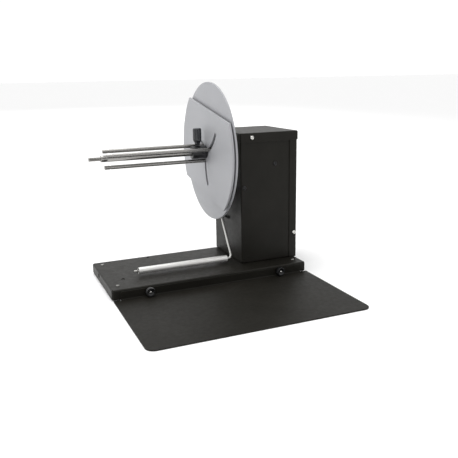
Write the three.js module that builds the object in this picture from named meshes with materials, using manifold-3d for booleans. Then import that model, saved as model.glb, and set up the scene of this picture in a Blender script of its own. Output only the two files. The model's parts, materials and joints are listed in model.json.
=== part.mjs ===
// Powered label rewinder: folded base, drive tower, adjustable core chuck,
// dancer arm with roller and a clip-on alignment tray.
// Millimetres. X runs along the chuck shaft (free end at -X), Y away from the
// tray, Z up from the table. The numbers below count from the middle of the
// base's front edge; the finished group is moved to stand on its own centre.
import * as THREE from 'three';
import Module from 'manifold-3d';

// ---- finished origin, in the numbers used below ---------------------------
const ORIGIN_X = 7.6;
const ORIGIN_Y = 9.15;

// ---- base -----------------------------------------------------------------
const BASE_HALF = 156;
const BASE_DEPTH = 144;
const BASE_TOP = 16.2;
const BASE_LOW = 1.6;
const BASE_SHEET = 1.6;
const FOOT_X = 143;
const FOOT_Y = [19, 128];
const FOOT_R = 8;

// ---- alignment tray -------------------------------------------------------
const TRAY_X0 = -155;
const TRAY_X1 = 157;
const TRAY_FRONT = -178;
const TRAY_SHEET = 1.5;
const TRAY_LIP_BACK = -0.3;
const TRAY_LIP_TOP = 13.6;
const TRAY_LIP_INSET = 11;
const TRAY_CORNER = 12;
const THUMB_X = [-102, 108];
const THUMB_Z = 8.7;
const THUMB_R = 6.9;

// ---- drive tower ----------------------------------------------------------
const TOWER_X0 = 60.5;
const TOWER_X1 = 156.2;
const TOWER_Y0 = 34;
const TOWER_Y1 = 144;
const TOWER_TOP = 220.7;
const TOWER_SHEET = 1.2;
const PANEL_X1 = 157.8;
const PANEL_LAP = 13.1;
const LID_TOP = 222.1;
const LID_LIP = 14;
const LID_SHEET = 1;

// ---- chuck ----------------------------------------------------------------
const AXIS_Y = 89;
const AXIS_Z = 191;
const SHAFT_R = 5;
const SHAFT_X0 = -141.7;
const SHAFT_X1 = 99;
const STUD_R = 3;
const STUD_X0 = -159.2;
const PLATE_R = 107.3;
const FRONT_X0 = 24.8;
const FRONT_X1 = 27.8;
const REAR_X0 = 30.3;
const REAR_X1 = 33.3;
const CHORD_DIST = 67.5;
const CHORD_TILT = 11;
const SLOT_HALF = 3.3;
const FINGER_R = 3;
const NECK_R = 2;
const FINGER_X0 = -136.2;
const FINGER_START = 14.2;
const FINGER_TRAVEL = 36;
const FINGER_ANGLE = 19.2;
const SPIRAL_DEG_PER_MM = 0.46;
const HUB_R = 10.25;
const HUB_X0 = 0.7;
const KNOB_X = 11.2;
const GAP = 0.3;

// ---- drive train ----------------------------------------------------------
const PULLEY_X0 = 87.5;
const PULLEY_X1 = 97.5;
const BIG_PULLEY_R = 18;
const SMALL_PULLEY_R = 9;
const MOTOR_Y = 70;
const MOTOR_Z = 105;

// ---- dancer arm -----------------------------------------------------------
const PIVOT_Y = 112;
const PIVOT_Z = 120.2;
const ARM_X = 49.5;
const ROD_R = 2;
const BEND_R = 6;
const ROLLER_Y = 50;
const ROLLER_Z = 23.7;
const ROLLER_R = 5;
const ROLLER_X0 = -103.5;
const ROLLER_X1 = 41;

// ---- colours --------------------------------------------------------------
const powder = new THREE.MeshStandardMaterial({ color: 0x2a2825, roughness: 0.62, metalness: 0.1 });
const satin = new THREE.MeshStandardMaterial({ color: 0xb3b5ba, roughness: 0.42, metalness: 0.8 });
const steel = new THREE.MeshStandardMaterial({ color: 0xb6b4ae, roughness: 0.3, metalness: 1.0 });
const zinc = new THREE.MeshStandardMaterial({ color: 0xc9c8c4, roughness: 0.35, metalness: 1.0 });
const black = new THREE.MeshStandardMaterial({ color: 0x15171a, roughness: 0.45, metalness: 0.0 });
const rubber = new THREE.MeshStandardMaterial({ color: 0x141414, roughness: 0.9, metalness: 0.0 });
const board = new THREE.MeshStandardMaterial({ color: 0x1d4a2c, roughness: 0.55, metalness: 0.0 });
const brass = new THREE.MeshStandardMaterial({ color: 0xb08d4a, roughness: 0.4, metalness: 1.0 });

const wasm = await Module();
wasm.setup();

const root = new THREE.Group();
root.name = 'label_rewinder';

// ---- solids ---------------------------------------------------------------
function weld(geometry) {
  const positions = geometry.attributes.position;
  const source = geometry.index;
  const count = source ? source.count : positions.count;
  const seen = new Map();
  const verts = [];
  const tris = [];
  for (let i = 0; i < count; i += 1) {
    const v = source ? source.getX(i) : i;
    const p = [positions.getX(v), positions.getY(v), positions.getZ(v)];
    const key = p.map((c) => Math.round(c * 1e4)).join(' ');
    if (!seen.has(key)) {
      seen.set(key, verts.length / 3);
      verts.push(...p);
    }
    tris.push(seen.get(key));
  }
  const clean = [];
  for (let i = 0; i < tris.length; i += 3) {
    const [a, b, c] = [tris[i], tris[i + 1], tris[i + 2]];
    if (a !== b && b !== c && a !== c) clean.push(a, b, c);
  }
  return { verts, clean };
}

function solid(geometry) {
  const { verts, clean } = weld(geometry);
  const mesh = new wasm.Mesh({
    numProp: 3,
    vertProperties: new Float32Array(verts),
    triVerts: new Uint32Array(clean),
  });
  return new wasm.Manifold(mesh);
}

function geometryOf(manifold) {
  const mesh = manifold.getMesh();
  const geometry = new THREE.BufferGeometry();
  geometry.setAttribute('position', new THREE.BufferAttribute(new Float32Array(mesh.vertProperties), 3));
  geometry.setIndex(new THREE.BufferAttribute(new Uint32Array(mesh.triVerts), 1));
  geometry.computeVertexNormals();
  return geometry;
}

function add(name, manifold, material, parent = root) {
  const mesh = new THREE.Mesh(geometryOf(manifold), material);
  mesh.name = name;
  parent.add(mesh);
  return mesh;
}

function fuse(...items) {
  return items.reduce((a, b) => a.add(b));
}

function cut(body, ...tools) {
  return tools.reduce((a, b) => a.subtract(b), body);
}

function box(x0, x1, y0, y1, z0, z1) {
  const geometry = new THREE.BoxGeometry(x1 - x0, y1 - y0, z1 - z0);
  geometry.translate((x0 + x1) / 2, (y0 + y1) / 2, (z0 + z1) / 2);
  return solid(geometry);
}

// A turned shape on its own axis, laid along X, Y or Z through (p, q).
function turned(profile, axis, p, q, segments = 22) {
  const points = profile.map(([r, h]) => new THREE.Vector2(r, h));
  const geometry = new THREE.LatheGeometry(points, segments);
  if (axis === 'x') {
    geometry.rotateZ(-Math.PI / 2);
    geometry.translate(0, p, q);
  }
  if (axis === 'y') geometry.translate(p, 0, q);
  if (axis === 'z') {
    geometry.rotateX(Math.PI / 2);
    geometry.translate(p, q, 0);
  }
  const made = solid(geometry);
  return made.volume() < 0 ? solid(flip(geometry)) : made;
}

function flip(geometry) {
  const index = geometry.index.array;
  for (let i = 0; i < index.length; i += 3) {
    [index[i], index[i + 1]] = [index[i + 1], index[i]];
  }
  return geometry;
}

function rod(axis, r, h0, h1, p, q, segments = 22) {
  return turned([[0, h0], [r, h0], [r, h1], [0, h1]], axis, p, q, segments);
}

function ring(axis, r0, r1, h0, h1, p, q, segments = 22) {
  return cut(rod(axis, r1, h0, h1, p, q, segments), rod(axis, r0, h0 - 1, h1 + 1, p, q, segments));
}

// A flat outline in (u, v) pushed from h0 to h1 along X, Y or Z.
function plate(outline, axis, h0, h1) {
  const shape = new THREE.Shape(outline.map(([u, v]) => new THREE.Vector2(u, v)));
  const geometry = new THREE.ExtrudeGeometry(shape, { depth: h1 - h0, bevelEnabled: false });
  if (axis === 'x') {
    geometry.rotateX(Math.PI / 2);
    geometry.rotateZ(Math.PI / 2);
    geometry.translate(h0, 0, 0);
  }
  if (axis === 'y') {
    geometry.rotateX(Math.PI / 2);
    geometry.translate(0, h1, 0);
  }
  if (axis === 'z') geometry.translate(0, 0, h0);
  return solid(geometry);
}

function roundedRect(u0, u1, v0, v1, radii, steps = 6) {
  const corners = [
    [u0, v0, 180, radii[0], 1, 1],
    [u1, v0, 270, radii[1], -1, 1],
    [u1, v1, 0, radii[2], -1, -1],
    [u0, v1, 90, radii[3], 1, -1],
  ];
  const points = [];
  corners.forEach(([u, v, start, r, su, sv]) => {
    if (r === 0) {
      points.push([u, v]);
      return;
    }
    for (let i = 0; i <= steps; i += 1) {
      const a = THREE.MathUtils.degToRad(start + (90 * i) / steps);
      points.push([u + su * r + r * Math.cos(a), v + sv * r + r * Math.sin(a)]);
    }
  });
  return points;
}

// Direction in the plate plane: angle counted from -Y toward +Z.
function radial(angleDeg, r) {
  const a = THREE.MathUtils.degToRad(angleDeg);
  return [AXIS_Y - r * Math.cos(a), AXIS_Z + r * Math.sin(a)];
}

function circle(r, n) {
  return Array.from({ length: n }, (_, i) => radial((360 * i) / n, r)).reverse();
}

// ---- base plate, feet -----------------------------------------------------
function buildBase() {
  const outer = plate(
    roundedRect(-BASE_HALF, BASE_HALF, 0, BASE_DEPTH, [1.5, 1.5, 1.5, 1.5], 3), 'z', BASE_LOW, BASE_TOP);
  const inner = box(-BASE_HALF + BASE_SHEET, BASE_HALF - BASE_SHEET,
    BASE_SHEET, BASE_DEPTH - BASE_SHEET, 0, BASE_TOP - BASE_SHEET);
  const holes = [[-129, 45, 2.6], [-129, 138, 1.6], [-65.6, 137, 2.6]].map(
    ([x, y, r]) => rod('z', r, 0, 20, x, y, 12));
  const screwHoles = footPlaces().map(([, x, y]) => rod('z', 1.9, 0, 20, x, y, 10));
  const boltHoles = [40, 138].map((y) => rod('z', 2.3, 0, 20, 110, y, 12));
  const thumbHoles = THUMB_X.map((x) => rod('y', 2.3, -1, 3, x, THUMB_Z, 12));
  const cableNotch = box(-BASE_HALF - 1, -BASE_HALF + 3, 88, 97, 8, 13.5);
  const tools = [inner, ...holes, ...screwHoles, ...boltHoles, ...thumbHoles, cableNotch];
  add('base_plate', cut(outer, ...tools), powder);
}

function footPlaces() {
  return [
    ['front_left', -FOOT_X, FOOT_Y[0]],
    ['front_right', FOOT_X, FOOT_Y[0]],
    ['rear_left', -FOOT_X, FOOT_Y[1]],
    ['rear_right', FOOT_X, FOOT_Y[1]],
  ];
}

function buildFeet() {
  const top = BASE_TOP - BASE_SHEET;
  footPlaces().forEach(([place, x, y]) => {
    const body = turned(
      [[0, 0], [FOOT_R - 2, 0], [FOOT_R - 1, 1.2], [FOOT_R, top - 3], [FOOT_R, top], [0, top]],
      'z', x, y, 16);
    add(`foot_${place}`, cut(body, rod('z', 1.8, 6, top + 1, x, y, 8)), rubber);
    const screw = turned(
      [[0, 7], [1.5, 7], [1.5, BASE_TOP], [2.7, BASE_TOP], [2.6, BASE_TOP + 0.8], [1.6, BASE_TOP + 1.4],
        [0, BASE_TOP + 1.4]],
      'z', x, y, 12);
    const slot = box(x - 0.4, x + 0.4, y - 1.5, y + 1.5, BASE_TOP + 0.8, BASE_TOP + 3);
    add(`foot_screw_${place}`, cut(screw, slot), zinc);
  });
}

// ---- tray and its thumbscrews --------------------------------------------
function buildTray() {
  const lipFront = TRAY_LIP_BACK - TRAY_SHEET;
  const floor = plate(
    roundedRect(TRAY_X0, TRAY_X1, TRAY_FRONT, lipFront + 0.2, [TRAY_CORNER, TRAY_CORNER, 0, 0], 8),
    'z', 0, TRAY_SHEET);
  const lip = box(TRAY_X0 + TRAY_LIP_INSET, TRAY_X1 - TRAY_LIP_INSET,
    lipFront, TRAY_LIP_BACK, 0, TRAY_LIP_TOP);
  const bend = plate([[lipFront - 1.6, TRAY_SHEET - 0.2], [lipFront + 0.4, TRAY_SHEET - 0.2],
    [lipFront + 0.4, TRAY_SHEET + 1.6], [lipFront, TRAY_SHEET + 1.6], [lipFront - 0.5, TRAY_SHEET + 0.5]],
    'x', TRAY_X0 + TRAY_LIP_INSET, TRAY_X1 - TRAY_LIP_INSET);
  const holes = THUMB_X.map((x) => rod('y', 2.3, -4, 2, x, THUMB_Z, 12));
  add('alignment_tray', cut(fuse(floor, lip, bend), ...holes), powder);
}

function fluted(axis, r, h0, h1, p, q, flutes, fluteR) {
  const blank = turned(
    [[0, h0], [r - 0.6, h0], [r, h0 + 0.6], [r, h1 - 0.6], [r - 0.6, h1], [0, h1]], axis, p, q, flutes * 2);
  const tools = [];
  for (let i = 0; i < flutes; i += 1) {
    const a = (2 * Math.PI * i) / flutes;
    const u = (r + fluteR * 0.55) * Math.cos(a);
    const v = (r + fluteR * 0.55) * Math.sin(a);
    tools.push(rod(axis, fluteR, h0 - 1, h1 + 1, p + u, q + v, 6));
  }
  return cut(blank, ...tools);
}

function buildThumbscrews() {
  ['left', 'right'].forEach((side, i) => {
    const x = THUMB_X[i];
    const front = TRAY_LIP_BACK - TRAY_SHEET - GAP;
    const head = fluted('y', THUMB_R, front - 8, front - 2, x, THUMB_Z, 11, 1.0);
    const neck = rod('y', 4.2, front - 2.5, front, x, THUMB_Z, 20);
    const shank = rod('y', 2, front - 1, 7, x, THUMB_Z, 14);
    const recess = rod('y', 4.4, front - 9, front - 7, x, THUMB_Z, 20);
    add(`tray_thumbscrew_${side}`, cut(fuse(head, neck, shank), recess), black);
  });
}

// ---- tower ----------------------------------------------------------------
function buildTower() {
  const outer = box(TOWER_X0, TOWER_X1, TOWER_Y0, TOWER_Y1, BASE_TOP, TOWER_TOP);
  const hollow = box(TOWER_X0 + TOWER_SHEET, TOWER_X1 + 2, TOWER_Y0 + TOWER_SHEET, TOWER_Y1 - TOWER_SHEET,
    BASE_TOP + TOWER_SHEET, TOWER_TOP + 2);
  const floorHole = box(TOWER_X0 + 12, TOWER_X1 + 2, TOWER_Y0 + 12, TOWER_Y1 - 12,
    BASE_TOP - 1, BASE_TOP + 3);
  const shaftHole = rod('x', 8, 55, 66, AXIS_Y, AXIS_Z, 24);
  const pivotHole = rod('x', 5.3, 55, 66, PIVOT_Y, PIVOT_Z, 20);
  const stopHoles = [85.5, 94.5].map((y) => rod('x', 1.8, 55, 66, y, 82, 8));
  const bolts = [40, 138].map((y) => rod('z', 2.3, 10, 20, 110, y, 12));
  const screws = [[119.1, 172.5], [66, 138]].map(([x, z]) => rod('y', 1.8, 30, 37, x, z, 8));
  const joined = [[78.8, 214.9], [153.1, 57.7]].map(([x, z]) => rod('y', 1.8, 20, 160, x, z, 8));
  const holes = [shaftHole, pivotHole, ...stopHoles, ...bolts, ...screws, ...joined];
  add('tower_shell', cut(outer, hollow, floorHole, ...holes), powder);

  const z0 = BASE_TOP + 0.2;
  const z1 = LID_TOP - LID_SHEET - 0.2;
  const lap0 = PANEL_X1 - PANEL_LAP;
  const wall = box(PANEL_X1 - TOWER_SHEET, PANEL_X1, TOWER_Y0 - TOWER_SHEET, TOWER_Y1 + TOWER_SHEET, z0, z1);
  const laps = [[TOWER_Y0 - TOWER_SHEET, TOWER_Y0], [TOWER_Y1, TOWER_Y1 + TOWER_SHEET]].map(
    ([y0, y1]) => box(lap0, PANEL_X1, y0, y1, z0, z1));
  const lapHoles = [rod('y', 1.8, 30, 36, 153.1, 57.7, 8), rod('y', 1.8, 142, 148, 153.1, 57.7, 8)];
  const knobHole = rod('x', 3.8, 150, 160, 112, 185, 20);
  const inletHole = rod('x', 5.8, 150, 160, 120, 34, 20);
  const switchHole = box(150, 160, 58.8, 73.2, 178.3, 199.7);
  const vents = [0, 1, 2, 3, 4].map((i) => box(150, 160, 70, 118, 118 + 7 * i, 121 + 7 * i));
  add('end_panel', cut(fuse(wall, ...laps), ...lapHoles, knobHole, inletHole, switchHole, ...vents), powder);

  const lx0 = TOWER_X0 - LID_SHEET;
  const lx1 = PANEL_X1 + LID_SHEET;
  const ly0 = TOWER_Y0 - TOWER_SHEET - LID_SHEET;
  const ly1 = TOWER_Y1 + TOWER_SHEET + LID_SHEET;
  const lidOuter = box(lx0, lx1, ly0, ly1, LID_TOP - LID_LIP, LID_TOP);
  const wallIn = LID_SHEET - 0.1;
  const lidInner = box(lx0 + wallIn, lx1 - wallIn, ly0 + wallIn, ly1 - wallIn,
    LID_TOP - LID_LIP - 1, LID_TOP - LID_SHEET);
  const lidHoles = [rod('y', 1.8, 28, 36, 78.8, 214.9, 8), rod('y', 1.8, 142, 150, 78.8, 214.9, 8)];
  add('tower_lid', cut(lidOuter, lidInner, ...lidHoles), powder);
}

function panScrew(name, x, z, yFace, outward, material) {
  const tip = yFace - outward * 5;
  const profile = outward < 0
    ? [[0, yFace - 2], [1.8, yFace - 2], [3.1, yFace - 1.2], [3.3, yFace], [1.5, yFace], [1.5, tip], [0, tip]]
    : [[0, tip], [1.5, tip], [1.5, yFace], [3.3, yFace], [3.1, yFace + 1.2], [1.8, yFace + 2],
      [0, yFace + 2]];
  const face = yFace + outward * 2;
  const deep = face - outward * 0.8;
  const slot = box(x - 1.8, x + 1.8, Math.min(face, deep), Math.max(face, deep) + 0.01, z - 0.5, z + 0.5);
  add(name, cut(turned(profile, 'y', x, z, 12), slot), material);
}

function buildTowerScrews() {
  const lidFront = TOWER_Y0 - TOWER_SHEET - LID_SHEET;
  const lidRear = TOWER_Y1 + TOWER_SHEET + LID_SHEET;
  panScrew('lid_screw_front', 78.8, 214.9, lidFront, -1, zinc);
  panScrew('lid_screw_rear', 78.8, 214.9, lidRear, 1, zinc);
  panScrew('panel_screw_front', 153.1, 57.7, TOWER_Y0 - TOWER_SHEET, -1, zinc);
  panScrew('panel_screw_rear', 153.1, 57.7, TOWER_Y1 + TOWER_SHEET, 1, zinc);
  panScrew('bracket_screw_upper', 119.1, 172.5, TOWER_Y0, -1, black);
  panScrew('bracket_screw_lower', 66, 138, TOWER_Y0, -1, black);
  [['front', 40], ['rear', 138]].forEach(([place, y]) => {
    const low = BASE_TOP + TOWER_SHEET;
    add(`tower_bolt_${place}`, fuse(rod('z', 3.6, low, low + 3, 110, y, 6), rod('z', 2, 11, low + 1, 110, y, 14)), zinc);
  });
}

// ---- chuck ----------------------------------------------------------------
function buildShaft() {
  const grooves = 5;
  const pitch = 3;
  const profile = [[0, STUD_X0], [STUD_R - 0.8, STUD_X0], [STUD_R, STUD_X0 + 0.8]];
  for (let i = 0; i < grooves; i += 1) {
    const h = STUD_X0 + 1.2 + pitch * i;
    profile.push([STUD_R, h], [STUD_R - 0.45, h + pitch * 0.45], [STUD_R, h + pitch * 0.9]);
  }
  profile.push([STUD_R, SHAFT_X0], [SHAFT_R - 0.6, SHAFT_X0], [SHAFT_R, SHAFT_X0 + 0.6]);
  profile.push([SHAFT_R, SHAFT_X1], [0, SHAFT_X1]);
  add('main_shaft', turned(profile, 'x', AXIS_Y, AXIS_Z, 20), steel);
}

function spiralOutline() {
  const steps = 9;
  const inner = [];
  const outer = [];
  for (let i = 0; i <= steps; i += 1) {
    const r = FINGER_START + (FINGER_TRAVEL * i) / steps;
    const a = SPIRAL_DEG_PER_MM * (r - FINGER_START);
    const lean = Math.atan(THREE.MathUtils.degToRad(SPIRAL_DEG_PER_MM) * r);
    const turn = THREE.MathUtils.degToRad(a);
    const px = r * Math.cos(turn);
    const py = r * Math.sin(turn);
    const nx = -Math.sin(turn + lean);
    const ny = Math.cos(turn + lean);
    outer.push([px + nx * SLOT_HALF, py + ny * SLOT_HALF]);
    inner.push([px - nx * SLOT_HALF, py - ny * SLOT_HALF]);
  }
  const cap = (r, from) => {
    const a = THREE.MathUtils.degToRad(SPIRAL_DEG_PER_MM * (r - FINGER_START));
    const lean = Math.atan(THREE.MathUtils.degToRad(SPIRAL_DEG_PER_MM) * r);
    return [1, 2, 3, 4].map((k) => {
      const t = a + lean + from + (Math.PI * k) / 5;
      return [r * Math.cos(a) + SLOT_HALF * Math.cos(t), r * Math.sin(a) + SLOT_HALF * Math.sin(t)];
    });
  };
  const end = cap(FINGER_START + FINGER_TRAVEL, -Math.PI / 2);
  const start = cap(FINGER_START, Math.PI / 2);
  return [...inner, ...end, ...outer.reverse(), ...start];
}

function straightOutline() {
  const far = FINGER_START + FINGER_TRAVEL;
  const points = [];
  for (let k = 0; k <= 5; k += 1) {
    const t = -Math.PI / 2 + (Math.PI * k) / 5;
    points.push([far + SLOT_HALF * Math.cos(t), SLOT_HALF * Math.sin(t)]);
  }
  for (let k = 0; k <= 5; k += 1) {
    const t = Math.PI / 2 + (Math.PI * k) / 5;
    points.push([FINGER_START + SLOT_HALF * Math.cos(t), SLOT_HALF * Math.sin(t)]);
  }
  return points;
}

// Slot outline given along the finger direction, placed on the plate.
function slotTool(outline, angleDeg, x0, x1) {
  const placed = outline.map(([u, v]) => {
    const r = Math.hypot(u, v);
    return radial(angleDeg + THREE.MathUtils.radToDeg(Math.atan2(v, u)), r);
  });
  return plate(placed.reverse(), 'x', x0, x1);
}

function fingerAngles() {
  return [FINGER_ANGLE, FINGER_ANGLE + 120, FINGER_ANGLE - 120];
}

function buildPlates() {
  const disc = plate(circle(PLATE_R, 72), 'x', FRONT_X0, FRONT_X1);
  const far = PLATE_R + 20;
  const tilt = THREE.MathUtils.degToRad(CHORD_TILT);
  const chord = (side) => {
    const corners = [[-far, CHORD_DIST], [far, CHORD_DIST], [far, far], [-far, far]].map(([u, v]) => {
      const w = v * side;
      return [AXIS_Y + u * Math.cos(tilt) - w * Math.sin(tilt), AXIS_Z + u * Math.sin(tilt) + w * Math.cos(tilt)];
    });
    return plate(side > 0 ? corners : corners.reverse(), 'x', FRONT_X0 - 1, FRONT_X1 + 1);
  };
  const spirals = fingerAngles().map((a) => slotTool(spiralOutline(), a, FRONT_X0 - 1, FRONT_X1 + 1));
  const bore = rod('x', SHAFT_R + GAP, 0, 60, AXIS_Y, AXIS_Z, 20);
  add('front_plate', cut(disc, chord(1), chord(-1), ...spirals, bore), satin);

  const rear = plate(circle(PLATE_R, 72), 'x', REAR_X0, REAR_X1);
  const boss = rod('x', 10.4, REAR_X1 - 0.5, 45, AXIS_Y, AXIS_Z, 24);
  const radials = fingerAngles().map((a) => slotTool(straightOutline(), a, REAR_X0 - 1, REAR_X1 + 0.2));
  add('rear_plate', cut(fuse(rear, boss), ...radials, bore), satin);
}

function buildHub() {
  const body = turned(
    [[0, HUB_X0], [HUB_R - 1, HUB_X0], [HUB_R, HUB_X0 + 1], [HUB_R, FRONT_X0], [0, FRONT_X0]],
    'x', AXIS_Y, AXIS_Z, 24);
  const bore = rod('x', SHAFT_R + GAP, -5, 30, AXIS_Y, AXIS_Z, 20);
  const knobHole = rod('z', 2.4, AXIS_Z, AXIS_Z + 14, KNOB_X, AXIS_Y, 12);
  add('hub_collar', cut(body, bore, knobHole), black);

  const z = AXIS_Z;
  const grip = turned(
    [[0, z + 11.6], [3.7, z + 11.6], [4.4, z + 15], [6.2, z + 18.5], [6.65, z + 21], [6.65, z + 36.4],
      [5.6, z + 37.6], [0, z + 37.9]],
    'z', KNOB_X, AXIS_Y, 16);
  const flutes = [];
  for (let i = 0; i < 8; i += 1) {
    const a = (2 * Math.PI * i) / 8;
    flutes.push(rod('z', 1.3, z + 16, z + 40, KNOB_X + 7.3 * Math.cos(a), AXIS_Y + 7.3 * Math.sin(a), 6));
  }
  const shank = rod('z', 2, z + SHAFT_R + GAP, z + 13, KNOB_X, AXIS_Y, 14);
  add('lock_knob', fuse(cut(grip, ...flutes), shank), black);
}

function buildFingers() {
  fingerAngles().forEach((angle, i) => {
    const [y, z] = radial(angle, FINGER_START);
    const end = REAR_X1 + GAP + 4;
    const profile = [[0, FINGER_X0], [2.2, FINGER_X0], [FINGER_R, FINGER_X0 + 0.8],
      [FINGER_R, FINGER_X0 + 8], [2.6, FINGER_X0 + 8.4], [2.6, FINGER_X0 + 9.6], [FINGER_R, FINGER_X0 + 10],
      [FINGER_R, REAR_X1], [NECK_R, REAR_X1], [NECK_R, end], [0, end]];
    add(`finger_${i + 1}`, turned(profile, 'x', y, z, 16), steel);

    const turn = THREE.MathUtils.degToRad(angle);
    const corners = [[-3, -6], [3, -6], [3, 6], [-3, 6]].map(([u, v]) => [
      y - u * Math.cos(turn) - v * Math.sin(turn),
      z + u * Math.sin(turn) - v * Math.cos(turn),
    ]);
    const block = plate(corners, 'x', REAR_X1 + GAP, end);
    add(`finger_slider_${i + 1}`, cut(block, rod('x', NECK_R + 0.2, 30, 45, y, z, 16)), black);
  });
}

// ---- bearings and drive ---------------------------------------------------
function buildBearings() {
  const x0 = TOWER_X0 + TOWER_SHEET;
  const flange = box(x0, x0 + 4, AXIS_Y - 22, AXIS_Y + 22, AXIS_Z - 22, AXIS_Z + 22);
  const barrel = rod('x', 17, x0 + 3, 85, AXIS_Y, AXIS_Z, 24);
  const seatFront = rod('x', 13, x0 - 1, 71, AXIS_Y, AXIS_Z, 24);
  const seatRear = rod('x', 13, 75.5, 86, AXIS_Y, AXIS_Z, 24);
  const middle = rod('x', 8, 70, 76, AXIS_Y, AXIS_Z, 20);
  add('bearing_block', cut(fuse(flange, barrel), seatFront, seatRear, middle), satin);
  [['front', 62.5], ['rear', 76]].forEach(([place, x]) => {
    add(`bearing_${place}`, ring('x', SHAFT_R + GAP, 12.7, x, x + 8, AXIS_Y, AXIS_Z, 24), steel);
  });
}

function pulley(r, y, z, bore) {
  const rim = r + 2;
  const body = turned([[0, PULLEY_X0], [rim, PULLEY_X0], [rim, PULLEY_X0 + 1], [r, PULLEY_X0 + 1.2],
    [r, PULLEY_X1 - 1.2], [rim, PULLEY_X1 - 1], [rim, PULLEY_X1], [0, PULLEY_X1]], 'x', y, z, 24);
  return bore > 0 ? cut(body, rod('x', bore, 80, 110, y, z, 24)) : body;
}

function beltOutline(extra) {
  const r1 = BIG_PULLEY_R + extra;
  const r2 = SMALL_PULLEY_R + extra;
  const dy = MOTOR_Y - AXIS_Y;
  const dz = MOTOR_Z - AXIS_Z;
  const span = Math.hypot(dy, dz);
  const heading = Math.atan2(dz, dy);
  const open = Math.acos((r1 - r2) / span);
  const points = [];
  for (let i = 0; i <= 20; i += 1) {
    const t = heading + open + ((2 * Math.PI - 2 * open) * i) / 20;
    points.push([AXIS_Y + r1 * Math.cos(t), AXIS_Z + r1 * Math.sin(t)]);
  }
  for (let i = 0; i <= 14; i += 1) {
    const t = heading - open + (2 * open * i) / 14;
    points.push([MOTOR_Y + r2 * Math.cos(t), MOTOR_Z + r2 * Math.sin(t)]);
  }
  return points;
}

function buildDrive() {
  add('driven_pulley', pulley(BIG_PULLEY_R, AXIS_Y, AXIS_Z, SHAFT_R + GAP), black);
  const stub = rod('x', 3, 90, 101.4, MOTOR_Y, MOTOR_Z, 16);
  add('motor_pulley', fuse(pulley(SMALL_PULLEY_R, MOTOR_Y, MOTOR_Z, 0), stub), black);
  const loop = cut(plate(beltOutline(1.6), 'x', 89, 96), plate(beltOutline(0.3), 'x', 88, 97));
  add('drive_belt', loop, rubber);

  const upright = box(100, 102, 46, 94, BASE_TOP, 128);
  const foot = box(100, 124, 46, 94, BASE_TOP, BASE_TOP + 2);
  const opening = rod('x', 6, 98, 104, MOTOR_Y, MOTOR_Z, 24);
  add('motor_bracket', cut(fuse(upright, foot), opening), steel);
  add('gearbox', rod('x', 18.5, 102, 124, MOTOR_Y, MOTOR_Z, 32), satin);
  const can = rod('x', 17.5, 124, 149, MOTOR_Y, MOTOR_Z, 32);
  const cap = rod('x', 6, 148, 151, MOTOR_Y, MOTOR_Z, 20);
  const tabs = [-9, 9].map((d) => box(148, 154, MOTOR_Y + d - 1, MOTOR_Y + d + 1, MOTOR_Z + 8, MOTOR_Z + 8.8));
  add('drive_motor', fuse(can, cap, ...tabs), steel);

  const sheet = box(100, 150, 137.4, 139, 128, 204);
  const chips = [[104, 118, 131, 137.6, 132, 160], [122, 134, 127, 137.6, 136, 148], [124, 146, 133, 137.6, 156, 170],
    [104, 146, 130, 137.6, 190, 200], [106, 112, 132, 137.6, 168, 182], [128, 146, 132.5, 137.6, 176, 184]].map(
    ([x0, x1, y0, y1, z0, z1]) => box(x0, x1, y0, y1, z0, z1));
  const posts = [[104, 131], [146, 131], [104, 202], [146, 202]].map(
    ([x, z]) => rod('y', 2, 138.5, TOWER_Y1 - TOWER_SHEET, x, z, 10));
  add('control_board', fuse(sheet, ...chips, ...posts), board);
}

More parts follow.
